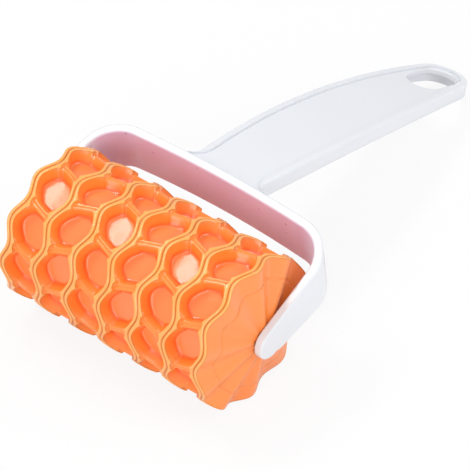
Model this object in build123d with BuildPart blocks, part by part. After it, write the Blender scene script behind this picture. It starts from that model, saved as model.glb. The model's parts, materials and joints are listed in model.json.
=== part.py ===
from build123d import *

import os
from math import asin, atan2, cos, hypot, radians, sin, tan

# A pastry roller, in millimetres. A hollow drum with a net of raised ribs turns on two pegs between
# the arms of a yoke, and the yoke and its handle are one moulding. +X runs along the drum's axis,
# +Y from the drum towards the handle's tip, and +Z up. The origin is on the table, under the middle
# of the bounding box: the drum and the handle's tip both stand on the table.

# Drum
roller_radius = 28.7
rib_pitch = 14.3
rib_wave = 1.4
rib_crest = 2.0
rib_turn = 9.8
row_count = 6
cell_count = 10
pocket_depth = 5.4
pocket_draft = 1.3
pocket_corner = 2.4
drum_wall = 1.8
drum_waist = 0.1

# End caps
cap_wall = 1.8
cap_skirt_length = 9.0
cap_fit = 0.03
flute_depth = 2.6
hub_radius = 5.8
hub_length = 11.0
hub_side_play = 0.35

# Yoke
yoke_half_width = 49.5
yoke_wall = 3.3
yoke_reach = 38.3
yoke_bow = 2.2
yoke_corner = 13.0
yoke_lean = 9.0
arm_end_radius = 6.1
arm_top_rise = 22.8
arm_under_rise = 10.4
arm_root_run = 5.4
arm_root_corner = 5.0
crossbar_under = 4.6
crossbar_under_overlap = 0.1
peg_radius = 3.5
peg_length = 5.5
peg_running_fit = 0.08

# Handle: reaches and heights along and square to its slope, from the drum's axis, and insets from
# the tip's end
handle_root_sink = 0.2
handle_root_overlap = 1.5
handle_tip_reach = 177.4
handle_root_half_width = 13.8
handle_tip_radius = 9.97
handle_tip_taper = 7.8
handle_root_flare = 6.0
handle_root_drop = 1.4
handle_crown_inset = 67.4
handle_crown_height = 35.2
handle_tip_under = 21.97
handle_depth = 6.5
handle_rim = 2.5
trough_depth = 0.8
handle_skin = 2.4
hang_hole_inset = 16.6
hang_hole_length = 25.0
hang_hole_width = 13.5

# Softened edges
yoke_round = 0.8
handle_round = 0.7
hole_round = 0.5

# How far a cutting solid runs past what it cuts
overrun = 6.0

# Sizes that follow
cell_step = 360.0 / cell_count
half_step = cell_step / 2
floor_radius = roller_radius - pocket_depth
bore_radius = floor_radius - drum_wall
ridge_end = row_count / 2 * rib_pitch + rib_wave + rib_crest / 2
hub_end = yoke_half_width - hub_side_play
cone_tip = hub_end + (hub_end - ridge_end) * hub_radius / (roller_radius - hub_radius)
ridge_slope = (cone_tip - ridge_end) / roller_radius
valley_slope = (cone_tip - ridge_end + flute_depth) / roller_radius
plug_radius = bore_radius - cap_fit
hub_bore_radius = peg_radius + peg_running_fit
yoke_outer_half_width = yoke_half_width + yoke_wall

crossbar_under_reach = yoke_reach + crossbar_under_overlap
arm_root_reach = crossbar_under_reach - arm_root_run

handle_tip_centre = handle_tip_reach - handle_tip_radius
handle_crown_reach = handle_tip_reach - handle_crown_inset
hang_hole_reach = handle_tip_reach - hang_hole_inset
tip_height = handle_tip_under + handle_depth

# The handle falls until its tip stands on the table, as the drum does
tip_distance = hypot(handle_tip_reach, handle_tip_under)
handle_fall = asin(roller_radius / tip_distance) + atan2(handle_tip_under, handle_tip_reach)
fall_sine = sin(handle_fall)
fall_cosine = cos(handle_fall)

# The handle's root sits in the crossbar's outer face, under the yoke's top
crossbar_reach = yoke_reach + yoke_wall
top_turn = radians(arm_top_rise - yoke_lean)
root_turn = handle_fall + radians(yoke_lean)
crossbar_top = (arm_end_radius + crossbar_reach * sin(top_turn)) / cos(top_turn)
handle_root_height = crossbar_reach * sin(root_turn) + crossbar_top * cos(root_turn) - handle_root_drop
handle_root_reach = (crossbar_reach - handle_root_sink - handle_root_height * sin(root_turn)) / cos(root_turn)
handle_root_start = handle_root_reach - handle_root_overlap

tip_corner_loss = handle_round * (fall_cosine + fall_sine - 1)
tip_y = handle_tip_reach * fall_cosine + tip_height * fall_sine - tip_corner_loss

axis_y = (roller_radius - tip_y) / 2
axis_z = roller_radius
axis_point = (0, axis_y, axis_z)

# Planes through the drum's axis: across the drum, the side view, and the slopes of yoke and handle
side_plane = Plane(origin=axis_point, x_dir=(0, 1, 0), z_dir=(1, 0, 0))
other_side_plane = Plane(origin=axis_point, x_dir=(0, 1, 0), z_dir=(-1, 0, 0))
lean_sine = sin(radians(yoke_lean))
lean_cosine = cos(radians(yoke_lean))
yoke_plane = Plane(origin=axis_point, x_dir=(1, 0, 0), z_dir=(0, -lean_sine, lean_cosine))
handle_plane = Plane(origin=axis_point, x_dir=(1, 0, 0), z_dir=(0, fall_sine, fall_cosine))
handle_side_plane = Plane(origin=axis_point, x_dir=(0, fall_cosine, -fall_sine), z_dir=(1, 0, 0))


def rise(radius_or_length, angle):
    """The point at a distance from the axis, at an angle above +Y, in the side view."""
    return (radius_or_length * cos(radians(angle)), radius_or_length * sin(radians(angle)))


# A pocket between four ribs and bars, as the solid that cuts it. Its axis of turning is Z and its
# middle is at angle zero. The two wavy ribs give it six corners, and the bars at its ends lean.
def pocket_section(distance, lean, inset):
    """The six corners on a plane that touches the circle of this radius, drawn in all round."""
    low = rib_pitch / 2 - rib_wave
    high = rib_pitch / 2 + rib_wave
    corners = [
        (-lean / 2 - half_step, -low),
        (-lean / 2, -high),
        (-lean / 2 + half_step, -low),
        (lean / 2 + half_step, low),
        (lean / 2, high),
        (lean / 2 - half_step, low),
    ]
    section_plane = Plane(origin=(distance, 0, 0), x_dir=(0, 1, 0), z_dir=(1, 0, 0))
    with BuildSketch(section_plane) as section:
        Polygon(*[(distance * tan(radians(angle)), place) for angle, place in corners], align=None)
        offset(amount=-inset, kind=Kind.INTERSECTION)
        fillet(section.vertices(), radius=pocket_corner)
    return section.sketch


def pocket(lean):
    """One pocket's cutter, from just over the crests down to its flat floor."""
    with BuildPart() as cutter:
        top = pocket_section(roller_radius + rib_crest / 2, lean, rib_crest / 2)
        floor = pocket_section(floor_radius, lean, rib_crest / 2 + pocket_draft)
        loft(sections=[top, floor], ruled=True)
    return cutter.part


# The flutes of an end, one cutter each: a cone whose section is a shallow arc, with its point on
# the axis beyond the hub. The ridges between two flutes run out to the rim's outermost places.
def flute():
    """One flute's cutter about Z, outward along Z, with the valley at angle zero."""
    distance = roller_radius + overrun
    half_width = distance * tan(radians(half_step))
    ridge = cone_tip - ridge_slope * distance / cos(radians(half_step))
    valley = cone_tip - valley_slope * distance
    lid = cone_tip + overrun
    section_plane = Plane(origin=(distance, 0, 0), x_dir=(0, 1, 0), z_dir=(1, 0, 0))
    with BuildPart() as cutter:
        with BuildSketch(section_plane) as section:
            with BuildLine():
                ThreePointArc((-half_width, ridge), (0, valley), (half_width, ridge))
                Polyline((half_width, ridge), (half_width, lid), (-half_width, lid), (-half_width, ridge))
            make_face()
        loft(sections=[section.sketch, Vertex(0, 0, cone_tip)], ruled=True)
    return cutter.part


flute_cutter = flute()

# The drum: six rows of ten pockets. Every second rib is turned, so the rows lean by turns. Its
# middle is slightly slimmer than its ends, so that it stands on its end ribs.
lean_angle = half_step - rib_turn
row_pockets = [pocket(lean_angle), pocket(-lean_angle)]
row_angles = [lean_angle / 2, -rib_turn - lean_angle / 2]
with BuildPart(side_plane) as drum:
    with BuildSketch(side_plane * Plane.XZ):
        with BuildLine():
            Polyline(
                (roller_radius - drum_waist, 0),
                (roller_radius, ridge_end),
                (roller_radius, hub_end),
                (bore_radius, hub_end),
                (bore_radius, -hub_end),
                (roller_radius, -hub_end),
                (roller_radius, -ridge_end),
                close=True,
            )
        make_face()
    revolve(axis=Axis(side_plane.origin, side_plane.z_dir))
    for row in range(row_count):
        with Locations((0, 0, (row + 1 / 2 - row_count / 2) * rib_pitch)):
            with PolarLocations(radius=0, count=cell_count, start_angle=row_angles[row % 2]):
                add(row_pockets[row % 2], mode=Mode.SUBTRACT)
    with PolarLocations(radius=0, count=cell_count):
        add(flute_cutter, mode=Mode.SUBTRACT)
    with Locations(Location((0, 0, 0), (180, 0, 0))):
        with PolarLocations(radius=0, count=cell_count, start_angle=half_step):
            add(flute_cutter, mode=Mode.SUBTRACT)
drum.part.label = "roller_drum"


def end_cap(label, plane, valley_angle):
    """An end cap: a fluted cone with a skirt that plugs the drum and a hub that turns on a peg."""
    skirt_radius = plug_radius - cap_wall
    rim_inside = cone_tip - valley_slope * plug_radius - cap_wall
    hub_inside = cone_tip - valley_slope * hub_radius - cap_wall
    skirt_end = rim_inside + cap_wall - cap_skirt_length
    hub_inner_end = hub_end - hub_length
    with BuildPart(plane) as cap:
        with BuildSketch(plane * Plane.XZ) as half:
            Polygon(
                (0, hub_end),
                (plug_radius, hub_end),
                (plug_radius, skirt_end),
                (skirt_radius, skirt_end),
                (skirt_radius, rim_inside),
                (0, hub_inside),
                align=None,
            )
        revolve(axis=Axis(plane.origin, plane.z_dir))
        with PolarLocations(radius=0, count=cell_count, start_angle=valley_angle):
            add(flute_cutter, mode=Mode.SUBTRACT)
        with Locations((0, 0, hub_inner_end)):
            Cylinder(
                radius=hub_radius,
                height=hub_length,
                align=(Align.CENTER, Align.CENTER, Align.MIN),
            )
            Cylinder(
                radius=hub_bore_radius,
                height=hub_length,
                align=(Align.CENTER, Align.CENTER, Align.MIN),
                mode=Mode.SUBTRACT,
            )
    cap.part.label = label
    return cap


right_cap = end_cap("end_cap_right", side_plane, 0)
left_cap = end_cap("end_cap_left", other_side_plane, half_step)


# The yoke: a band round three sides of the drum, cut to its side view, with a peg on each arm.
def yoke_outline(half_width, reach, corner):
    """A room from in front of the arms to the crossbar, whose middle bows towards the handle."""
    front = -arm_end_radius - overrun
    shoulder = reach - yoke_bow
    with BuildSketch(yoke_plane) as outline:
        with BuildLine():
            Polyline(
                (-half_width, shoulder), (-half_width, front), (half_width, front), (half_width, shoulder)
            )
            ThreePointArc((half_width, shoulder), (0, reach), (-half_width, shoulder))
        make_face()
        fillet(outline.vertices().group_by(Axis.Y)[-1], radius=corner)
    return outline.sketch


def arm_side_view():
    """The yoke from the side: arms that widen from a round end, and a shallower crossbar."""
    top_start = rise(arm_end_radius, arm_top_rise + 90)
    under_start = rise(arm_end_radius, arm_under_rise - 90)
    back = yoke_reach + yoke_wall + overrun
    top_back = (back, top_start[1] + (back - top_start[0]) * tan(radians(arm_top_rise)))
    root_drop = (arm_root_reach - under_start[0]) * tan(radians(arm_under_rise))
    arm_root = (arm_root_reach, under_start[1] + root_drop)
    crossbar_root = (crossbar_under_reach, crossbar_under)
    with BuildSketch(side_plane) as view:
        Polygon(
            top_start,
            top_back,
            (back, crossbar_under),
            crossbar_root,
            arm_root,
            under_start,
            align=None,
        )
        fillet(view.vertices().sort_by_distance(side_plane.from_local_coords(arm_root))[0], arm_root_corner)
        Circle(radius=arm_end_radius)
    return view.sketch


def handle_outline(inset):
    """The handle square to its slope, drawn in by this much: flared root, bowed sides, round tip."""
    taper = radians(handle_tip_taper)
    tip_radius = handle_tip_radius - inset
    tip_side = (tip_radius * cos(taper), handle_tip_centre + tip_radius * sin(taper))
    root_side = (handle_root_half_width - inset, handle_root_reach)
    wing = handle_root_half_width + 2 * handle_root_flare
    with BuildSketch(handle_plane) as outline:
        with BuildLine():
            for side in (1, -1):
                TangentArc(
                    (side * tip_side[0], tip_side[1]),
                    (side * root_side[0], root_side[1]),
                    tangent=(side * sin(taper), -cos(taper)),
                )
            ThreePointArc(tip_side, (0, handle_tip_reach - inset), (-tip_side[0], tip_side[1]))
            Polyline(
                (-root_side[0], handle_root_reach),
                (-wing, handle_root_reach),
                (-wing, handle_root_start),
                (wing, handle_root_start),
                (wing, handle_root_reach),
                root_side,
            )
        make_face()
        root_corners = outline.vertices().sort_by_distance((0, handle_root_reach))[:2]
        fillet(root_corners, radius=handle_root_flare + inset)
    return outline.sketch


def top_line():
    """Three points of the handle's arched top in the side view: its root, its crown, and past its tip."""
    root = (handle_root_start, handle_root_height)
    crown = (handle_crown_reach, handle_crown_height)
    arch = ThreePointArc(root, crown, (handle_tip_reach, tip_height))
    turn = overrun / arch.radius
    ahead = (arch % 1) * arch.radius * sin(turn)
    inward = (arch.arc_center - arch @ 1) * (1 - cos(turn))
    past_tip = arch @ 1 + ahead + inward
    return (root, crown, (past_tip.X, past_tip.Y))


def arched_band(over, under):
    """The side view between two arches, this far over and this far under the handle's top line."""
    arches = [[(along, height + lift) for along, height in top_line()] for lift in (over, -under)]
    with BuildSketch(handle_side_plane) as band:
        with BuildLine():
            for arch in arches:
                ThreePointArc(*arch)
            Line(arches[0][0], arches[1][0])
            Line(arches[0][2], arches[1][2])
        make_face()
    return band.sketch


def handle_solid(inset, over, under):
    """The solid that has the handle's outline from above and an arched band from the side."""
    with BuildPart() as solid:
        extrude(handle_outline(inset), amount=handle_tip_reach, both=True)
        extrude(arched_band(over, under), amount=yoke_half_width, both=True, mode=Mode.INTERSECT)
    return solid.part


def reach(edge):
    """How far along the handle's slope the middle of an edge lies."""
    return handle_plane.to_local_coords(Vector(edge @ 0.5)).Y


def is_side(edge):
    """Whether an edge runs along most of the handle."""
    return edge.length > (handle_tip_centre - handle_root_reach) / 2


def not_short(edge):
    """Whether an edge is more than a corner of the handle or of its hole."""
    return edge.length > hang_hole_width / 2


def beside_hole(edge):
    """Whether an edge lies round the hanging hole."""
    return hole_start <= reach(edge) <= hole_end


hole_start = hang_hole_reach - (hang_hole_length + hole_round) / 2
hole_end = hang_hole_reach + (hang_hole_length + hole_round) / 2
yoke_top_axis = Axis(axis_point, (0, -sin(radians(arm_top_rise)), cos(radians(arm_top_rise))))
tall = yoke_reach + roller_radius
room = extrude(yoke_outline(yoke_half_width, yoke_reach, yoke_corner), amount=tall, both=True)
with BuildPart() as yoke:
    extrude(
        yoke_outline(yoke_outer_half_width, yoke_reach + yoke_wall, yoke_corner + yoke_wall),
        amount=tall,
        both=True,
    )
    extrude(arm_side_view(), amount=yoke_outer_half_width, both=True, mode=Mode.INTERSECT)
    add(room, mode=Mode.SUBTRACT)
    yoke_top = yoke.faces().filter_by(GeomType.PLANE).sort_by(yoke_top_axis)[-1]
    fillet(yoke_top.edges().filter_by(lambda edge: edge.length > yoke_corner), radius=yoke_round)
    crossbar_underside = yoke.faces().filter_by(Axis.Z).sort_by(SortBy.AREA)[-1]
    fillet(crossbar_underside.edges(), radius=yoke_round)

with BuildPart() as frame:
    add(handle_solid(0, 0, handle_depth))
    side_edges = frame.edges().filter_by(is_side)
    tip_edges = frame.edges().filter_by(not_short).filter_by(lambda edge: reach(edge) > hole_end)
    fillet(side_edges + tip_edges, radius=handle_round)
    add(handle_solid(handle_rim, overrun, trough_depth), mode=Mode.SUBTRACT)
    add(handle_solid(handle_rim, -trough_depth - handle_skin, handle_depth + overrun), mode=Mode.SUBTRACT)
    with BuildSketch(handle_plane):
        with Locations((0, hang_hole_reach)):
            SlotOverall(hang_hole_length, hang_hole_width, rotation=90)
    extrude(amount=handle_tip_reach, both=True, mode=Mode.SUBTRACT)
    fillet(frame.edges().filter_by(not_short).filter_by(beside_hole), radius=hole_round)
    add(room, mode=Mode.SUBTRACT)
    add(yoke.part)
    for side in (1, -1):
        with BuildSketch(side_plane.offset(side * yoke_half_width)):
            Circle(radius=peg_radius)
        extrude(amount=-side * peg_length)
frame.part.label = "frame_handle"

os.makedirs("parts", exist_ok=True)
for piece in (drum, right_cap, left_cap, frame):
    export_step(piece.part, f"parts/{piece.part.label}.step")
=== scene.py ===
"""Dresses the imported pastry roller: its moulded plastics, the net of ribs, the light and the camera."""

from __future__ import annotations

import json
import logging
import sys
from dataclasses import dataclass, field
from enum import Enum
from math import atan2, cos, pi, radians, sin

import bmesh
import bpy
from mathutils import Matrix, Vector


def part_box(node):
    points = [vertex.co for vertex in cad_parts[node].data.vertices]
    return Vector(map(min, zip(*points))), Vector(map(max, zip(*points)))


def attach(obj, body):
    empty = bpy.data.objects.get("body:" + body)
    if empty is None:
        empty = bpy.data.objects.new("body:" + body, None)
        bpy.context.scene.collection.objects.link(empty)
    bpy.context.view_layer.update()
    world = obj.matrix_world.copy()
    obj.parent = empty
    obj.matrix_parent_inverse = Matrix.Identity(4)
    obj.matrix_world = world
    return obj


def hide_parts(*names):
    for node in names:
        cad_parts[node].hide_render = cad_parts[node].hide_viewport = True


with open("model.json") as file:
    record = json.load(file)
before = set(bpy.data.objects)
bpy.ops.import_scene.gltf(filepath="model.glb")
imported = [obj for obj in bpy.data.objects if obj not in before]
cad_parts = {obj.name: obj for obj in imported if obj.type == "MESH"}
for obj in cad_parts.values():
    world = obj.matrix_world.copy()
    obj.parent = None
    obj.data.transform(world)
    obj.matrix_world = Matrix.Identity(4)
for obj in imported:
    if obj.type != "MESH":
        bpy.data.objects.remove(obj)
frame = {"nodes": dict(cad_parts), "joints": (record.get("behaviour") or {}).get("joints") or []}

log = logging.getLogger("pastry_roller")

MM = 0.001
HALF_TURN = pi

# The relief and the clouds that all the plastics share. A scale is the number of patches in a metre.
CLOUD_SCALE = 30.0
CLOUD_SHARE = 0.04
RIPPLE_SCALE = 260.0
RIPPLE_DEPTH = 0.02 * MM
SWELL_SCALE = 110.0
NOISE_DETAIL = 2.0
NOISE_ROUGHNESS = 0.5
ROUGHNESS_SPREAD = 0.08
COAT_ROUGHNESS = 0.08


class Sum:
    """One output of a node, which takes part in Python sums."""

    def __init__(self, graph: Graph, socket: bpy.types.NodeSocket) -> None:
        """Keeps the output and the graph that it belongs to.

        Args:
            graph: The graph that new Math nodes are added to.
            socket: The output socket that stands for the value.
        """
        self.graph = graph
        self.socket = socket

    def __add__(self, other: Sum | float) -> Sum:
        """Adds a value."""
        return self.graph.maths("ADD", self, other)

    def __radd__(self, other: float) -> Sum:
        """Adds this to a number."""
        return self.graph.maths("ADD", other, self)

    def __sub__(self, other: Sum | float) -> Sum:
        """Takes a value away."""
        return self.graph.maths("SUBTRACT", self, other)

    def __rsub__(self, other: float) -> Sum:
        """Takes this away from a number."""
        return self.graph.maths("SUBTRACT", other, self)

    def __mul__(self, other: Sum | float) -> Sum:
        """Multiplies by a value."""
        return self.graph.maths("MULTIPLY", self, other)

    def __rmul__(self, other: float) -> Sum:
        """Multiplies a number by this."""
        return self.graph.maths("MULTIPLY", other, self)

    def __truediv__(self, other: Sum | float) -> Sum:
        """Divides by a value."""
        return self.graph.maths("DIVIDE", self, other)

    def __rtruediv__(self, other: float) -> Sum:
        """Divides a number by this."""
        return self.graph.maths("DIVIDE", other, self)

    def __pow__(self, power: Sum | float) -> Sum:
        """Raises this to a power."""
        return self.graph.maths("POWER", self, power)

    def __neg__(self) -> Sum:
        """Turns the sign round."""
        return self.graph.maths("MULTIPLY", self, -1.0)

    def sine(self) -> Sum:
        """The sine of this angle."""
        return self.graph.maths("SINE", self)

    def cosine(self) -> Sum:
        """The cosine of this angle."""
        return self.graph.maths("COSINE", self)

    def size(self) -> Sum:
        """This without its sign."""
        return self.graph.maths("ABSOLUTE", self)

    def whole(self) -> Sum:
        """The whole number below this."""
        return self.graph.maths("FLOOR", self)

    def root(self) -> Sum:
        """The square root of this."""
        return self.graph.maths("SQRT", self)

    def rest_after(self, step: float) -> Sum:
        """What is left of this after whole steps."""
        return self.graph.maths("FLOORED_MODULO", self, step)

    def over(self, limit: float) -> Sum:
        """1 where this is over a limit, and 0 elsewhere."""
        return self.graph.maths("GREATER_THAN", self, limit)

    def at_least(self, least: float) -> Sum:
        """This, or the least value that it may have."""
        return self.graph.maths("MAXIMUM", self, least)

    def between_0_and_1(self) -> Sum:
        """This, held between 0 and 1."""
        return self.graph.maths("MINIMUM", self.graph.maths("MAXIMUM", self, 0.0), 1.0)


def held(value: Sum | float) -> Sum | float:
    """A node's value or a plain number, held between 0 and 1."""
    return value.between_0_and_1() if isinstance(value, Sum) else min(max(value, 0.0), 1.0)


def sine(angle: Sum | float) -> Sum | float:
    """The sine of a node's value or of a plain number."""
    return angle.sine() if isinstance(angle, Sum) else sin(angle)


def cosine(angle: Sum | float) -> Sum | float:
    """The cosine of a node's value or of a plain number."""
    return angle.cosine() if isinstance(angle, Sum) else cos(angle)


class Graph:
    """A node tree, of a material or of Geometry Nodes, that grows by calls."""

    def __init__(self, tree: bpy.types.NodeTree) -> None:
        """Empties the tree.

        Args:
            tree: The node tree to fill.
        """
        self.tree = tree
        tree.nodes.clear()

    def feed(self, entry: bpy.types.NodeSocket, value: object) -> None:
        """Links a value to an input, or sets the input to it.

        Args:
            entry: The input socket.
            value: A Sum, a socket, or a plain value.
        """
        if isinstance(value, Sum):
            value = value.socket
        if isinstance(value, bpy.types.NodeSocket):
            self.tree.links.new(value, entry)
        else:
            entry.default_value = value

    def node(
        self, kind: str, settings: dict | None = None, inputs: dict | None = None
    ) -> bpy.types.Node:
        """Adds any node.

        Args:
            kind: The node's type name.
            settings: Its properties, set before its inputs. "stops" holds a ramp's places and colours.
            inputs: Values or links by the input's name or number.

        Returns:
            The new node.
        """
        made = self.tree.nodes.new(kind)
        for name, value in (settings or {}).items():
            if name == "stops":
                self._set_stops(made.color_ramp, value)
            else:
                setattr(made, name, value)
        for name, value in (inputs or {}).items():
            if isinstance(name, int):
                entry = made.inputs[name]
            else:
                entry = next(socket for socket in made.inputs if socket.name == name and socket.enabled)
            self.feed(entry, value)
        return made

    @staticmethod
    def _set_stops(ramp: bpy.types.ColorRamp, stops: list[tuple[float, tuple[float, ...]]]) -> None:
        """Gives a colour ramp its stops.

        Args:
            ramp: The ramp to change.
            stops: Each stop's place and colour.
        """
        while len(ramp.elements) < len(stops):
            ramp.elements.new(1.0)
        for element, (place, colour) in zip(ramp.elements, stops):
            element.position = place
            element.color = colour

    def value(
        self, kind: str, settings: dict | None = None, inputs: dict | None = None, out: int = 0
    ) -> Sum:
        """Adds any node and takes one of its outputs.

        Args:
            kind: The node's type name.
            settings: Its properties.
            inputs: Values or links by the input's name or number.
            out: The number of the output.

        Returns:
            The output as a value for sums.
        """
        return Sum(self, self.node(kind, settings, inputs).outputs[out])

    def maths(self, operation: str, *values: Sum | float) -> Sum:
        """Adds one Math node.

        Args:
            operation: The node's operation.
            values: Its inputs in order.

        Returns:
            The node's result.
        """
        return self.value("ShaderNodeMath", {"operation": operation}, dict(enumerate(values)))

    def place(self, x: Sum | float, y: Sum | float, z: Sum | float) -> Sum:
        """Joins three numbers into a vector.

        Args:
            x: The first number.
            y: The second number.
            z: The third number.

        Returns:
            The vector.
        """
        return self.value("ShaderNodeCombineXYZ", None, {"X": x, "Y": y, "Z": z})

    def parts(self, vector: Sum | bpy.types.NodeSocket) -> tuple[Sum, Sum, Sum]:
        """Splits a vector into its three numbers.

        Args:
            vector: The vector's output.

        Returns:
            The three numbers.
        """
        made = self.node("ShaderNodeSeparateXYZ", None, {"Vector": vector})
        return tuple(Sum(self, out) for out in made.outputs)


class ShapeTree(Graph):
    """A Geometry Nodes tree with named sizes, which turns an object's mesh into another."""

    def __init__(self, name: str, sizes: dict[str, float]) -> None:
        """Makes the tree and its inputs.

        Args:
            name: The tree's name.
            sizes: Each named size and its value, in metres, radians or counts.
        """
        tree = bpy.data.node_groups.new(name, "GeometryNodeTree")
        super().__init__(tree)
        self.sizes = sizes
        tree.interface.new_socket("Geometry", in_out="INPUT", socket_type="NodeSocketGeometry")
        for size in sizes:
            tree.interface.new_socket(size, in_out="INPUT", socket_type="NodeSocketFloat")
        tree.interface.new_socket("Material", in_out="INPUT", socket_type="NodeSocketMaterial")
        tree.interface.new_socket("Geometry", in_out="OUTPUT", socket_type="NodeSocketGeometry")
        self.entry = self.node("NodeGroupInput")

    def size(self, name: str) -> Sum:
        """One of the tree's named inputs."""
        return Sum(self, self.entry.outputs[name])

    def close(self, geometry: bpy.types.NodeSocket) -> None:
        """Ends the tree: instances are made real and the material is set.

        Args:
            geometry: The finished geometry.
        """
        real = self.node("GeometryNodeRealizeInstances", None, {"Geometry": geometry})
        dressed = self.node(
            "GeometryNodeSetMaterial",
            None,
            {"Geometry": real.outputs[0], "Material": self.entry.outputs["Material"]},
        )
        self.node("NodeGroupOutput", None, {"Geometry": dressed.outputs[0]})

    def grow(self, start: bpy.types.Mesh, finish: bpy.types.Material) -> bpy.types.Mesh:
        """Runs the tree on a mesh and keeps the result as a plain mesh.

        Args:
            start: The mesh that the tree starts from.
            finish: The material for the result.

        Returns:
            The result.
        """
        holder = bpy.data.objects.new(self.tree.name + "_holder", start)
        bpy.context.scene.collection.objects.link(holder)
        modifier = holder.modifiers.new(self.tree.name, "NODES")
        modifier.node_group = self.tree
        values = dict(self.sizes, Material=finish)
        for item in self.tree.interface.items_tree:
            if item.in_out == "INPUT" and item.name in values:
                modifier[item.identifier] = values[item.name]
        graph = bpy.context.evaluated_depsgraph_get()
        made = bpy.data.meshes.new_from_object(holder.evaluated_get(graph))
        holder.modifiers.remove(modifier)
        bpy.data.objects.remove(holder)
        return made


def new_piece(name: str, mesh: bpy.types.Mesh, body: str) -> bpy.types.Object:
    """Puts a finished mesh into the scene as a piece of the object.

    Args:
        name: The piece's name.
        mesh: Its mesh, already in place.
        body: The body that it rides on.

    Returns:
        The piece.
    """
    mesh.name = name
    piece = bpy.data.objects.new(name, mesh)
    bpy.context.scene.collection.objects.link(piece)
    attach(piece, body)
    return piece


def welded(
    meshes: list[bpy.types.Mesh], reach: float, crease: float, finish: bpy.types.Material
) -> bpy.types.Mesh:
    """Joins meshes into one closed mesh with its faces outwards.

    Args:
        meshes: The meshes to join. They are used up.
        reach: How near two points are that become one, in metres.
        crease: The angle past which an edge stays sharp, in radians.
        finish: The material of the whole.

    Returns:
        The joined mesh.
    """
    shape = bmesh.new()
    for mesh in meshes:
        shape.from_mesh(mesh)
    bmesh.ops.remove_doubles(shape, verts=shape.verts, dist=reach)
    bmesh.ops.recalc_face_normals(shape, faces=shape.faces)
    for face in shape.faces:
        face.smooth = True
        face.material_index = 0
    joined = meshes[0]
    shape.to_mesh(joined)
    shape.free()
    for mesh in meshes[1:]:
        bpy.data.meshes.remove(mesh)
    joined.set_sharp_from_angle(angle=crease)
    joined.materials.clear()
    joined.materials.append(finish)
    return joined


@dataclass(frozen=True)
class Finish:
    """What all the plastics of the object share."""

    name: str
    base_colour: tuple[float, float, float, float]
    swell_depth: float
    roughness: float = 0.30
    coat: float = 0.35

    def colour_of(self, graph: Graph, spot: Sum) -> Sum:
        """The colour at a spot of the surface.

        Args:
            graph: The material's graph.
            spot: The place on the object.

        Returns:
            The colour.
        """
        return self.clouded(graph, self.base_colour, spot)

    def clouded(self, graph: Graph, colour: Sum | tuple[float, ...], spot: Sum) -> Sum:
        """A colour with faint clouds in it.

        Args:
            graph: The material's graph.
            colour: The colour.
            spot: The place on the object.

        Returns:
            The clouded colour.
        """
        cloud = self.noise(graph, spot, CLOUD_SCALE)
        return self.shaded(graph, colour, 1.0 + (cloud - 0.5) * CLOUD_SHARE)

    @staticmethod
    def noise(graph: Graph, spot: Sum, scale: float) -> Sum:
        """A soft noise between 0 and 1.

        Args:
            graph: The material's graph.
            spot: The place on the object.
            scale: How many patches fit in a metre.

        Returns:
            The noise.
        """
        return graph.value(
            "ShaderNodeTexNoise",
            {"noise_dimensions": "3D"},
            {"Vector": spot, "Scale": scale, "Detail": NOISE_DETAIL, "Roughness": NOISE_ROUGHNESS},
        )

    @staticmethod
    def shaded(graph: Graph, colour: Sum | tuple[float, ...], shade: Sum) -> Sum:
        """A colour times a number.

        Args:
            graph: The material's graph.
            colour: The colour.
            shade: How bright it becomes.

        Returns:
            The shaded colour.
        """
        entry = colour if isinstance(colour, Sum) else colour[:3]
        return graph.value(
            "ShaderNodeVectorMath",
            {"operation": "SCALE"},
            {0: entry, "Scale": shade},
        )

    @staticmethod
    def mixed(
        graph: Graph, first: Sum | tuple[float, ...], second: Sum | tuple[float, ...], share: Sum
    ) -> Sum:
        """A mix of two colours.

        Args:
            graph: The material's graph.
            first: The colour where the share is 0.
            second: The colour where the share is 1.
            share: The second colour's share.

        Returns:
            The mixed colour.
        """
        inputs = {"Factor": share, "A": first, "B": second}
        mix = graph.node("ShaderNodeMix", {"data_type": "RGBA"}, inputs)
        return Sum(graph, next(out for out in mix.outputs if out.enabled))

    def material(self) -> bpy.types.Material:
        """Builds the material.

        Returns:
            The material.
        """
        made = bpy.data.materials.new(self.name)
        made.use_nodes = True
        graph = Graph(made.node_tree)
        spot = Sum(graph, graph.node("ShaderNodeTexCoord").outputs["Object"])
        ripple = self.noise(graph, spot, RIPPLE_SCALE)
        swell = self.noise(graph, spot, SWELL_SCALE)
        relief = ripple * RIPPLE_DEPTH + swell * self.swell_depth
        bump = graph.node("ShaderNodeBump", None, {"Strength": 1.0, "Distance": 1.0, "Height": relief})
        surface = graph.node(
            "ShaderNodeBsdfPrincipled",
            None,
            {
                "Base Color": self.colour_of(graph, spot),
                "Roughness": self.roughness + (ripple - 0.5) * ROUGHNESS_SPREAD,
                "Coat Weight": self.coat,
                "Coat Roughness": COAT_ROUGHNESS,
                "Normal": bump.outputs[0],
            },
        )
        graph.node("ShaderNodeOutputMaterial", None, {"Surface": surface.outputs[0]})
        return made


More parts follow.
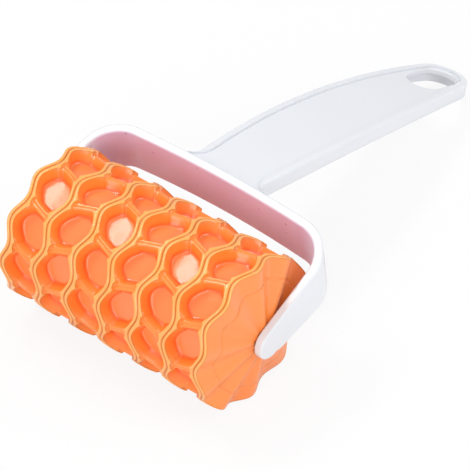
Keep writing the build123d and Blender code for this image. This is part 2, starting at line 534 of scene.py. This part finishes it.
@dataclass(frozen=True)
class WhitePlastic(Finish):
    """The cool white plastic of the yoke and the handle, with painted shade and painted orange bounce
    light, in mauve, on the yoke's inner face.
    """

    name: str = "white_plastic"
    base_colour: tuple[float, float, float, float] = (0.77, 0.79, 0.83, 1.0)
    swell_depth: float = 0.03 * MM
    # Painted shade and painted orange bounce light on the crossbar's inner face
    painted_bounce_colour: tuple[float, float, float, float] = (0.80, 0.62, 0.86, 1.0)
    speck_colour: tuple[float, float, float, float] = (0.38, 0.26, 0.36, 1.0)
    axis_y: float = 0.0
    axis_z: float = 0.0
    yoke_lean: float = radians(9.0)
    half_width: float = 49.5 * MM
    corner_middle: tuple[float, float] = (36.5 * MM, 24.1 * MM)
    corner_radius: float = 13.0 * MM
    bow: float = 2.2 * MM
    fade: float = 0.4 * MM
    lead_in: float = 6.5 * MM
    speck_scale: float = 420.0
    speck_level: float = 0.73
    speck_strength: float = 0.7

    def colour_of(self, graph: Graph, spot: Sum) -> Sum:
        """The colour at a spot: painted shade and painted orange bounce light in mauve, with a few real
        specks, on the crossbar's inner face, else white.

        Args:
            graph: The material's graph.
            spot: The place on the object.

        Returns:
            The colour.
        """
        # The mask of the crossbar's inner face, where painted shade and painted orange bounce light, in
        # mauve, are mixed into the white
        x, y, z = graph.parts(spot)
        along = (y - self.axis_y) * cos(self.yoke_lean) + (z - self.axis_z) * sin(self.yoke_lean)
        side, middle = self.corner_middle
        past_corner = (x.size() - side).at_least(0.0)
        past_middle = (along - middle).at_least(0.0)
        bow = ((side**2 - x * x) * (self.bow / self.half_width**2)).at_least(0.0)
        distance = (past_corner**2.0 + past_middle**2.0).root() - bow
        inside = ((self.corner_radius + self.fade - distance) / self.fade).between_0_and_1()
        inside = inside * (past_middle / self.lead_in).between_0_and_1()
        speck = self.noise(graph, spot, self.speck_scale).over(self.speck_level) * self.speck_strength
        bounce_shade_and_specks = self.mixed(graph, self.painted_bounce_colour, self.speck_colour, speck)
        white = super().colour_of(graph, spot)
        return self.mixed(graph, white, bounce_shade_and_specks, inside)


@dataclass(frozen=True)
class OrangePlastic(Finish):
    """The orange plastic of the drum: painted highlights on the crests, painted shade in dark lines
    beside them, and painted shade that makes the walls' feet redder.
    """

    name: str = "orange_plastic"
    base_colour: tuple[float, float, float, float] = (1.0, 0.27, 0.04, 1.0)
    swell_depth: float = 0.7 * MM
    # Painted highlight on the crests' rounded edges
    crest_highlight_colour: tuple[float, float, float, float] = (1.0, 0.42, 0.10, 1.0)
    # Painted shade in the dark lines on and beside the crests
    line_shade_colour: tuple[float, float, float, float] = (0.72, 0.22, 0.03, 1.0)
    # Painted shade at the feet of the pockets' walls
    deep_shade_colour: tuple[float, float, float, float] = (1.0, 0.15, 0.02, 1.0)
    floor_colour: tuple[float, float, float, float] = (1.0, 0.27, 0.07, 1.0)
    face_colour: tuple[float, float, float, float] = (1.0, 0.28, 0.06, 1.0)
    crest_radius: float = 28.7 * MM
    axis_y: float = 0.0
    axis_z: float = 0.0
    crest_depth: float = 0.12 * MM
    line_depths: tuple[float, float] = (0.26 * MM, 0.42 * MM)
    wall_depths: tuple[float, float] = (0.65 * MM, 3.0 * MM)
    wall_foot_depth: float = 4.6 * MM
    floor_depth: float = 4.95 * MM
    deepest: float = 5.6 * MM
    face_depth: float = 0.6 * MM
    least_lift: float = 0.01

    @property
    def stops(self) -> list[tuple[float, tuple[float, ...]]]:
        """The colours by depth under the crests: painted highlights at the crests, and painted shade in
        the lines beside them and at the walls' feet.

        Returns:
            Each colour's depth as a share of the deepest, and the colour.
        """
        depths = [(self.crest_depth, self.crest_highlight_colour)]
        depths += [(depth, self.line_shade_colour) for depth in self.line_depths]
        depths += [(depth, self.base_colour) for depth in self.wall_depths]
        depths += [(self.wall_foot_depth, self.deep_shade_colour), (self.floor_depth, self.floor_colour)]
        return [(depth / self.deepest, colour) for depth, colour in depths]

    def colour_of(self, graph: Graph, spot: Sum) -> Sum:
        """The colour at a spot, by how deep in a pocket it lies, with painted highlights and painted
        shade, or the fluted faces' own colour.

        Args:
            graph: The material's graph.
            spot: The place on the object.

        Returns:
            The colour.
        """
        x, y, z = graph.parts(spot)
        radius = ((y - self.axis_y) ** 2.0 + (z - self.axis_z) ** 2.0).root()
        depth = self.crest_radius - radius
        share = (depth / self.deepest).between_0_and_1()
        # The ramp paints highlights on the crests, and shade in the lines beside them and deep in the
        # pockets
        colour = graph.value("ShaderNodeValToRGB", {"stops": self.stops}, {"Fac": share})
        lift = graph.value("ShaderNodeAttribute", {"attribute_name": "lift"}, out=2)
        on_face = lift.over(self.least_lift) * depth.over(self.face_depth)
        return self.clouded(graph, self.mixed(graph, colour, self.face_colour, on_face), spot)


@dataclass(frozen=True)
class Ridge:
    """A rib or bar in section, from its middle down into a pocket, and how many steps draw each part."""

    half_width: float
    groove: float
    edge_round: float
    foot_round: float
    depth: float
    draft: float = radians(12.5)
    crest_steps: int = 2
    edge_steps: int = 3
    wall_steps: int = 2
    foot_steps: int = 3

    @property
    def steepest(self) -> float:
        """The wall's angle to the drum's surface."""
        return HALF_TURN / 2 - self.draft

    @property
    def wall(self) -> float:
        """The length of the straight wall between the two rounded parts."""
        rounds = (self.edge_round + self.foot_round) * (1 - cos(self.steepest))
        return (self.depth - rounds) / sin(self.steepest)

    @property
    def steps(self) -> int:
        """How many steps the section has in all."""
        return self.crest_steps + self.edge_steps + self.wall_steps + self.foot_steps

    def section(self, step: Sum | float) -> tuple[Sum | float, Sum | float]:
        """How far from the ridge's middle, and how deep under its crest, a step of the section lies.

        Args:
            step: The number of the step, counted from the middle.

        Returns:
            The distance and the depth.
        """
        crest = held(step / float(self.crest_steps))
        first = float(self.crest_steps)
        edge_turn = held((step - first) / float(self.edge_steps)) * self.steepest
        first += self.edge_steps
        wall = held((step - first) / float(self.wall_steps)) * self.wall
        first += self.wall_steps
        foot_turn = (1.0 - held((step - first) / float(self.foot_steps))) * self.steepest
        distance = (
            crest * self.half_width
            + sine(edge_turn) * self.edge_round
            + wall * cos(self.steepest)
            + (sin(self.steepest) - sine(foot_turn)) * self.foot_round
        )
        depth = (
            (1.0 - held(step)) * self.groove
            + (1.0 - cosine(edge_turn)) * self.edge_round
            + wall * sin(self.steepest)
            + (cosine(foot_turn) - cos(self.steepest)) * self.foot_round
        )
        return distance, depth

    @property
    def reach(self) -> float:
        """How far from the ridge's middle its section ends on the pocket's floor."""
        rounds = (self.edge_round + self.foot_round) * sin(self.steepest)
        return self.half_width + rounds + self.wall * cos(self.steepest)

    def distances(self) -> list[float]:
        """The distances of all steps from the ridge's middle, from 0 to the section's end."""
        return [self.section(float(step))[0] for step in range(self.steps + 1)]


@dataclass
class Drum:
    """The hollow drum with its net of wavy ribs and lower leaning bars, and its fluted ends."""

    axis: Vector
    radius: float
    finish: bpy.types.Material
    rib_pitch: float = 14.3 * MM
    rib_wave: float = 1.35 * MM
    lean: float = radians(8.2)
    turn: float = radians(-1.85)
    rows: int = 6
    cells: int = 10
    pocket_depth: float = 5.4 * MM
    bar_drop: float = 1.2 * MM
    corner_round: float = 3.2 * MM
    blend: float = 0.6 * MM
    floor_flat_share: float = 0.7
    corner_fade_share: float = 0.6
    seam_radius: float = 21.5 * MM
    seam_edge: float = 0.06 * MM
    face_steps: int = 6
    weld_reach: float = 0.02 * MM
    crease: float = radians(60.0)
    rib: Ridge = field(init=False)
    bar: Ridge = field(init=False)

    def __post_init__(self) -> None:
        """Works out the sections of ribs and bars."""
        self.rib = Ridge(
            half_width=1.0 * MM,
            groove=0.55 * MM,
            edge_round=0.40 * MM,
            foot_round=1.2 * MM,
            depth=self.pocket_depth,
        )
        self.bar = Ridge(
            half_width=0.75 * MM,
            groove=0.25 * MM,
            edge_round=0.35 * MM,
            foot_round=1.2 * MM,
            depth=self.pocket_depth - self.bar_drop,
        )

    @property
    def half_step(self) -> float:
        """The angle from a rib's outer corner to its next inner corner."""
        return HALF_TURN / self.cells

    @property
    def half_cell(self) -> float:
        """The distance from a bar to the pocket's middle, square to the bar, on the drum's surface."""
        return self.half_step * self.radius * cos(self.bar_slope)

    @property
    def bar_slope(self) -> float:
        """How far a bar leans from the drum's axis."""
        return atan2(self.lean * self.radius, self.rib_pitch)

    def net_tree(self) -> ShapeTree:
        """The tree that lays the pockets round the drum, each from one flat patch.

        Returns:
            The tree.
        """
        tree = ShapeTree(
            "rib_net",
            {
                "Radius": self.radius,
                "Axis Y": self.axis.y,
                "Axis Z": self.axis.z,
                "Rib Pitch": self.rib_pitch,
                "Rib Wave": self.rib_wave,
                "Lean": self.lean,
                "Turn": self.turn,
                "Pocket Depth": self.pocket_depth,
                "Bar Drop": self.bar_drop,
                "Corner Round": self.corner_round,
                "Blend": self.blend,
            },
        )
        around = 4 * (self.bar.steps + 1)
        across = 2 * (self.rib.steps + 1)
        patch = tree.node(
            "GeometryNodeMeshGrid",
            None,
            {"Size X": 1.0, "Size Y": 1.0, "Vertices X": around + 1, "Vertices Y": across + 1},
        )
        starts = tree.node("GeometryNodePoints", None, {"Count": self.rows * self.cells})
        copies = tree.node(
            "GeometryNodeInstanceOnPoints",
            None,
            {"Points": starts.outputs[0], "Instance": patch.outputs[0]},
        )
        number = tree.value("GeometryNodeInputIndex")
        numbered = tree.node(
            "GeometryNodeStoreNamedAttribute",
            {"data_type": "FLOAT", "domain": "INSTANCE"},
            {"Geometry": copies.outputs[0], "Name": "cell", "Value": number},
        )
        real = tree.node("GeometryNodeRealizeInstances", None, {"Geometry": numbered.outputs[0]})
        set_out = tree.node(
            "GeometryNodeSetPosition",
            None,
            {"Geometry": real.outputs[0], "Position": self.net_place(tree, around, across)},
        )
        tree.close(set_out.outputs[0])
        return tree

    def net_place(self, tree: ShapeTree, around: int, across: int) -> Sum:
        """Where each point of a patch goes on the drum.

        Args:
            tree: The tree to add to.
            around: How many steps a patch has from bar to bar.
            across: How many steps it has from rib to rib.

        Returns:
            The place.
        """
        x, y, _ = tree.parts(tree.value("GeometryNodeInputPosition"))
        cell = tree.value("GeometryNodeInputNamedAttribute", {"data_type": "FLOAT"}, {"Name": "cell"})
        row = ((cell + 0.5) / float(self.cells)).whole()
        column = cell - row * float(self.cells)
        odd_row = row.rest_after(2.0)
        side = 1.0 - 2.0 * odd_row
        radius = tree.size("Radius")
        pitch = tree.size("Rib Pitch")

        # How far the point is from its bar, and how deep. Past the quarter the points are spaced as on
        # the next row's bar, which lies at this pocket's middle, so that the two rows' points meet.
        from_middle = x * float(around)
        from_bar = around / 2 - from_middle.size()
        quarter = around / 4
        far = from_bar.over(quarter + 0.5)
        near_step = quarter - (from_bar - quarter).size()
        bar_run, bar_depth = self.bar.section(near_step)
        bar_floor = (near_step - float(self.bar.steps)).between_0_and_1()
        bar_run = bar_run + (self.half_cell / 2 - bar_run) * bar_floor
        bar_run = bar_run + (self.half_cell - 2.0 * bar_run) * far
        bar_depth = bar_depth + tree.size("Bar Drop")
        bar_depth = bar_depth + (tree.size("Pocket Depth") - bar_depth) * far

        # How far the point is from the nearer rib, and how deep
        from_rib = across / 2 - (y * float(across)).size()
        rib_run, rib_depth = self.rib.section(from_rib)
        rib_floor = (from_rib - float(self.rib.steps)).between_0_and_1()

        rib_inset = rib_run - self.rib.half_width
        bar_inset = bar_run - self.bar.half_width
        corner = self.corner_shift(tree, rib_inset, bar_inset)

        # The place round the drum in half cells, and the share of the way from rib to rib
        step_in = (bar_run + corner) / self.half_cell
        bar_side = from_middle.over(0.0) * 2.0 - 1.0
        middle = 2.0 * column + odd_row
        step = middle + bar_side * (1.0 - step_in)
        wave = self.wave(step)
        slope = self.wave_slope(step) * tree.size("Rib Wave") / (radius * self.half_step)
        room = pitch + 2.0 * side * tree.size("Rib Wave") * wave
        share_in = (rib_run + corner) * (slope * slope + 1.0).root() / room
        share_in = share_in + (0.5 - share_in) * rib_floor
        rib_side = y.over(0.0)
        share = share_in + (1.0 - 2.0 * share_in) * rib_side

        # The place along the drum, and the angle with the bars' lean
        waved = side * tree.size("Rib Wave") * wave * (1.0 - 2.0 * share)
        length = pitch * (row + share - self.rows / 2.0) - waved
        lean = tree.size("Lean")
        angle = step * self.half_step + lean * (odd_row + side * share) + tree.size("Turn")
        middle_angle = middle * self.half_step + lean * 0.5 + tree.size("Turn")

        # Bars run softly into ribs, and the pockets' floors are nearly flat
        blend = tree.size("Blend")
        overlap = (blend - (rib_depth - bar_depth).size()).at_least(0.0)
        depth = tree.maths("MINIMUM", rib_depth, bar_depth) - overlap * overlap / (4.0 * blend)
        pocket = tree.size("Pocket Depth")
        flat = (radius - pocket) * (1.0 / (angle - middle_angle).cosine() - 1.0) * self.floor_flat_share
        height = radius - depth + flat * (depth / pocket) ** 3.0
        return tree.place(
            length,
            height * angle.cosine() + tree.size("Axis Y"),
            height * angle.sine() + tree.size("Axis Z"),
        )

    def corner_shift(self, tree: ShapeTree, rib_inset: Sum, bar_inset: Sum) -> Sum:
        """How far a point in a pocket's corner moves away from both walls, which rounds the corner.

        Args:
            tree: The tree to add to.
            rib_inset: The point's distance from the rib's edge.
            bar_inset: The point's distance from the bar's edge.

        Returns:
            The distance that the point moves.
        """
        rounding = tree.size("Corner Round")
        apart = ((rib_inset - bar_inset).size() / rounding).between_0_and_1()
        root = (((2.0 - apart) ** 2.0) - 2.0 * ((1.0 - apart) ** 2.0)).root()
        shift = (2.0 - apart - root) * 0.5 * rounding
        inset = tree.maths("MINIMUM", rib_inset, bar_inset)
        begin = (inset / self.rib.edge_round).between_0_and_1()
        past = inset - self.bar.reach * self.corner_fade_share
        end = 1.0 - (past / self.bar.reach).between_0_and_1()
        return shift * begin * end

    def wave(self, step: Sum) -> Sum:
        """The wave of a rib: 1 at even steps and -1 at odd ones."""
        return (step * HALF_TURN).cosine()

    def wave_slope(self, step: Sum) -> Sum:
        """How fast the wave changes with the step."""
        return (step * HALF_TURN).sine() * -HALF_TURN

    def flute_tree(self, name: str) -> ShapeTree:
        """The tree that waves a turned shape along the axis, as far as its attribute says.

        Args:
            name: The tree's name.

        Returns:
            The tree.
        """
        tree = ShapeTree(
            name,
            {
                "Axis Y": self.axis.y,
                "Axis Z": self.axis.z,
                "Rib Wave": self.rib_wave,
                "Turn": self.turn,
            },
        )
        _, y, z = tree.parts(tree.value("GeometryNodeInputPosition"))
        angle = tree.maths("ARCTAN2", z - tree.size("Axis Z"), y - tree.size("Axis Y"))
        lift = tree.value("GeometryNodeInputNamedAttribute", {"data_type": "FLOAT"}, {"Name": "lift"})
        shift = -(tree.size("Rib Wave") * lift * self.wave((angle - tree.size("Turn")) / self.half_step))
        moved = tree.node(
            "GeometryNodeSetPosition",
            None,
            {"Geometry": tree.entry.outputs["Geometry"], "Offset": tree.place(shift, 0.0, 0.0)},
        )
        tree.close(moved.outputs[0])
        return tree

    def angles(self) -> list[float]:
        """The angles of the points round an end, where the net has its points.

        Returns:
            The angles of one whole turn.
        """
        near = [distance / self.half_cell for distance in self.bar.distances()]
        step = near + [0.5] + [1 - share for share in reversed(near)][:-1]
        steps = [whole + share for whole in range(2 * self.cells) for share in step]
        return [self.turn + place * self.half_step for place in steps]

    def turned(self, profile: list[tuple[float, float, float]], closed: bool) -> bpy.types.Mesh:
        """Turns a profile about the drum's axis.

        Args:
            profile: Each point's place along the axis, its radius, and how far the flutes lift it.
            closed: Whether the last point joins the first.

        Returns:
            The turned mesh, with the attribute that the flutes read.
        """
        angles = self.angles()
        count = len(profile)
        points = [
            (along, self.axis.y + radius * cos(angle), self.axis.z + radius * sin(angle))
            for angle in angles
            for along, radius, _ in profile
        ]
        faces = []
        for step in range(len(angles)):
            here = step * count
            there = (step + 1) % len(angles) * count
            for place in range(count if closed else count - 1):
                onward = (place + 1) % count
                faces.append((here + place, here + onward, there + onward, there + place))
        mesh = bpy.data.meshes.new("turned")
        mesh.from_pydata(points, [], faces)
        lift = mesh.attributes.new("lift", "FLOAT", "POINT")
        lift.data.foreach_set("value", [row[2] for _ in angles for row in profile])
        return mesh

    @property
    def rim_place(self) -> float:
        """Where the middle of an end rib lies along the axis."""
        return self.rib_pitch * self.rows / 2

    @property
    def rim_reach(self) -> float:
        """Where the fluted face meets the end rib's rounded edge."""
        return self.rim_place + self.rib.half_width + self.rib.edge_round

    @property
    def face_radius(self) -> float:
        """The radius at which the fluted face begins."""
        return self.radius - self.rib.edge_round

    def face_place(self, radius: float, tip: float) -> float:
        """How far out the fluted face is at a radius.

        Args:
            radius: The radius.
            tip: Where the face's cone ends on the axis.

        Returns:
            The place along the axis.
        """
        return tip - (tip - self.rim_reach) * radius / self.face_radius

    def face_row(self, radius: float, tip: float, sink: float = 0.0) -> tuple[float, float, float]:
        """One point of the fluted face's profile.

        Args:
            radius: The radius.
            tip: Where the face's cone ends on the axis.
            sink: How far the point lies inside the face.

        Returns:
            The place along the axis, the radius, and how far the flutes lift it.
        """
        return (self.face_place(radius, tip) - sink, radius, radius / self.face_radius)

    def end_profile(self, tip: float) -> list[tuple[float, float, float]]:
        """The profile from an end rib's crest, over its edge and down the fluted face to the seam.

        Args:
            tip: Where the face's cone ends on the axis.

        Returns:
            The profile.
        """
        rib = self.rib
        profile = [
            (self.rim_place, self.radius - rib.groove, 1.0),
            (self.rim_place + rib.half_width / 2, self.radius, 1.0),
            (self.rim_place + rib.half_width, self.radius, 1.0),
        ]
        for step in range(1, rib.edge_steps + 1):
            turn = step / rib.edge_steps * HALF_TURN / 2
            along = self.rim_place + rib.half_width + rib.edge_round * sin(turn)
            profile.append((along, self.radius - rib.edge_round * (1 - cos(turn)), 1.0))
        face_run = self.seam_radius + self.seam_edge - self.face_radius
        for step in range(1, self.face_steps + 1):
            profile.append(self.face_row(self.face_radius + face_run * step / self.face_steps, tip))
        profile.append(self.face_row(self.seam_radius, tip, sink=self.seam_edge))
        return profile

    def build(self, tip: float) -> bpy.types.Object:
        """Makes the drum: the net, both ends and the bore, as one closed shell.

        Args:
            tip: Where the cones of the fluted faces end on the axis.

        Returns:
            The drum.
        """
        net = self.net_tree().grow(bpy.data.meshes.new("net_start"), self.finish)
        end = self.end_profile(tip)
        mirrored = [(-along, radius, lift) for along, radius, lift in reversed(end)]
        shell = self.turned(end + mirrored, closed=False)
        ends = self.flute_tree("drum_flutes").grow(shell, self.finish)
        mesh = welded([ends, net], self.weld_reach, self.crease, self.finish)
        drum = new_piece("drum_net", mesh, "roller")
        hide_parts("roller_drum")
        return drum


@dataclass
class EndCap:
    """A fluted cone that is pressed into an end of the drum, with the hub that turns on a peg."""

    drum: Drum
    side: int
    tip: float
    hub_end: float
    hub_radius: float = 5.8 * MM
    bore_radius: float = 3.58 * MM
    hub_length: float = 11.0 * MM
    skirt_length: float = 9.0 * MM
    wall: float = 1.8 * MM
    fit: float = 0.03 * MM
    hub_edge: float = 0.3 * MM
    face_steps: int = 12
    weld_reach: float = 0.001 * MM
    crease: float = radians(50.0)

    def profile(self) -> list[tuple[float, float, float]]:
        """The cap's closed profile, from the seam over the hub and back along the inside.

        Returns:
            Each point's place along the axis, its radius, and how far the flutes lift it.
        """
        drum = self.drum
        plug = drum.seam_radius - self.fit
        rows = [drum.face_row(plug, self.tip, sink=drum.seam_edge)]
        start = plug - drum.seam_edge
        for step in range(self.face_steps + 1):
            radius = start + (self.hub_radius - start) * step / self.face_steps
            rows.append(drum.face_row(radius, self.tip))
        rows += [
            (self.hub_end, self.hub_radius - self.hub_edge, 0.0),
            (self.hub_end, self.bore_radius + self.hub_edge, 0.0),
            (self.hub_end - self.hub_edge, self.bore_radius, 0.0),
            (self.hub_end - self.hub_length, self.bore_radius, 0.0),
            (self.hub_end - self.hub_length, self.hub_radius, 0.0),
        ]
        rim = drum.face_place(plug, self.tip) - drum.rib_wave
        root = drum.face_place(self.hub_radius, self.tip) - drum.rib_wave
        rows += [
            (root - self.wall, self.hub_radius, 0.0),
            (rim - self.wall, plug - self.wall, 0.0),
            (rim - self.skirt_length, plug - self.wall, 0.0),
            (rim - self.skirt_length, plug, 0.0),
        ]
        return rows

    def build(self, node: str) -> bpy.types.Object:
        """Makes the cap.

        Args:
            node: The CAD part that it stands for.

        Returns:
            The cap.
        """
        rows = [(self.side * along, radius, lift) for along, radius, lift in self.profile()]
        mesh = self.drum.turned(rows, closed=True)
        grown = self.drum.flute_tree(node + "_flutes").grow(mesh, self.drum.finish)
        whole = welded([grown], self.weld_reach, self.crease, self.drum.finish)
        cap = new_piece(node.replace("end_cap", "fluted_cap"), whole, "roller")
        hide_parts(node)
        return cap


@dataclass
class View:
    """The camera, at the photograph's angle."""

    azimuth: float = radians(38.12)
    elevation: float = radians(42.40)
    roll: float = radians(1.1545)
    distance: float = 1.3007
    aim: tuple[float, float, float] = (8.7735 * MM, 34.4234 * MM, 0.0)
    picture_side: float = 470.0
    focal_pixels: float = 3731.2
    sensor: float = 36.0
    farthest: float = 10.0

    def build(self, axis: Vector) -> bpy.types.Object:
        """Makes the camera.

        Args:
            axis: The middle of the drum.

        Returns:
            The camera.
        """
        back = Vector(
            (
                sin(self.azimuth) * cos(self.elevation),
                -cos(self.azimuth) * cos(self.elevation),
                sin(self.elevation),
            )
        )
        right = Vector((cos(self.azimuth), sin(self.azimuth), 0.0))
        up = back.cross(right)
        turned_right = right * cos(self.roll) + up * sin(self.roll)
        turned_up = up * cos(self.roll) - right * sin(self.roll)
        data = bpy.data.cameras.new("camera")
        data.sensor_width = self.sensor
        data.lens = self.focal_pixels * self.sensor / self.picture_side
        data.clip_end = self.farthest
        camera = bpy.data.objects.new("camera", data)
        place = Matrix.Translation(axis + Vector(self.aim) + back * self.distance)
        turn = Matrix((turned_right, turned_up, back)).transposed().to_4x4()
        camera.matrix_world = place @ turn
        bpy.context.scene.collection.objects.link(camera)
        bpy.context.scene.camera = camera
        return camera


@dataclass(frozen=True)
class Panel:
    """A soft panel of light: its direction and distance from the object, its size and its power."""

    direction: tuple[float, float, float]
    distance: float
    length: float
    breadth: float
    power: float


class Lamp(Enum):
    """The lamps, which light the object at a plain level."""

    OVERHEAD = Panel((-0.46, -0.03, 0.89), distance=0.9, length=0.50, breadth=0.17, power=3.0)
    FRONT = Panel((0.25, -0.85, 0.45), distance=1.2, length=0.7, breadth=0.7, power=5.0)
    RIGHT = Panel((0.8, 0.4, 0.55), distance=1.2, length=0.6, breadth=0.6, power=4.4)

    def build(self, middle: Vector) -> None:
        """Makes the lamp.

        Args:
            middle: What the lamp points at.
        """
        panel = self.value
        way = Vector(panel.direction).normalized()
        data = bpy.data.lights.new(self.name.lower(), "AREA")
        data.shape = "RECTANGLE"
        data.size = panel.length
        data.size_y = panel.breadth
        data.energy = panel.power
        lamp = bpy.data.objects.new(self.name.lower(), data)
        lamp.location = middle + way * panel.distance
        lamp.rotation_mode = "QUATERNION"
        lamp.rotation_quaternion = way.to_track_quat("Z", "Y")
        bpy.context.scene.collection.objects.link(lamp)


@dataclass
class Studio:
    """The pale floor and the plain light round the object."""

    floor_side: float = 6.0
    floor_drop: float = 0.2 * MM
    floor_colour: tuple[float, float, float, float] = (0.85, 0.85, 0.86, 1.0)
    floor_white_share: float = 0.88
    white: tuple[float, float, float, float] = (1.0, 1.0, 1.0, 1.0)
    ambient: float = 0.60

    def build_world(self) -> None:
        """Makes the world: white where the camera sees it, and a soft light everywhere else."""
        world = bpy.data.worlds.new("studio")
        world.use_nodes = True
        bpy.context.scene.world = world
        graph = Graph(world.node_tree)
        path = graph.node("ShaderNodeLightPath")
        seen = Sum(graph, path.outputs["Is Camera Ray"])
        strength = seen + (1.0 - seen) * self.ambient
        light = graph.node("ShaderNodeBackground", None, {"Color": self.white, "Strength": strength})
        graph.node("ShaderNodeOutputWorld", None, {"Surface": light.outputs[0]})

    def build_floor(self) -> None:
        """Makes the floor, which the camera sees as white but for the object's shadow."""
        half = self.floor_side / 2
        mesh = bpy.data.meshes.new("floor")
        corners = [(-half, -half, -self.floor_drop), (half, -half, -self.floor_drop)]
        corners += [(half, half, -self.floor_drop), (-half, half, -self.floor_drop)]
        mesh.from_pydata(corners, [], [(0, 1, 2, 3)])
        floor = bpy.data.objects.new("floor", mesh)
        bpy.context.scene.collection.objects.link(floor)
        made = bpy.data.materials.new("pale_floor")
        made.use_nodes = True
        graph = Graph(made.node_tree)
        path = graph.node("ShaderNodeLightPath")
        seen = Sum(graph, path.outputs["Is Camera Ray"])
        spread = graph.node("ShaderNodeBsdfDiffuse", None, {"Color": self.floor_colour})
        white = graph.node("ShaderNodeEmission", None, {"Color": self.white, "Strength": 1.0})
        inputs = {0: seen * self.floor_white_share, 1: spread.outputs[0], 2: white.outputs[0]}
        mix = graph.node("ShaderNodeMixShader", None, inputs)
        graph.node("ShaderNodeOutputMaterial", None, {"Surface": mix.outputs[0]})
        mesh.materials.append(made)


def main() -> None:
    """Builds the pieces in order and reports each."""
    logging.basicConfig(level=logging.INFO, format="%(message)s", stream=sys.stdout)
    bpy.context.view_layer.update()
    bpy.context.scene.view_settings.view_transform = "Standard"
    axis = Vector(frame["joints"][0]["pos_m"])
    low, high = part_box("roller_drum")
    radius = (high.z - low.z) / 2
    hub_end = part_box("end_cap_right")[1].x

    white = WhitePlastic(axis_y=axis.y, axis_z=axis.z).material()
    orange = OrangePlastic(axis_y=axis.y, axis_z=axis.z, crest_radius=radius).material()
    handle = frame["nodes"]["frame_handle"]
    handle.data.materials.clear()
    handle.data.materials.append(white)
    log.info("dressed %s", handle.name)

    drum = Drum(axis, radius, orange)
    slope = (hub_end - drum.rim_reach) / (radius - EndCap.hub_radius)
    tip = hub_end + slope * EndCap.hub_radius
    pieces = [drum.build(tip)]
    for side, name in ((1, "end_cap_right"), (-1, "end_cap_left")):
        pieces.append(EndCap(drum, side, tip, hub_end).build(name))
    for piece in pieces:
        log.info("%s: %d faces", piece.name, len(piece.data.polygons))

    View().build(axis)
    for lamp in Lamp:
        lamp.build(axis)
        log.info("lamp %s", lamp.name)
    studio = Studio()
    studio.build_world()
    studio.build_floor()


if __name__ == "__main__":
    main()
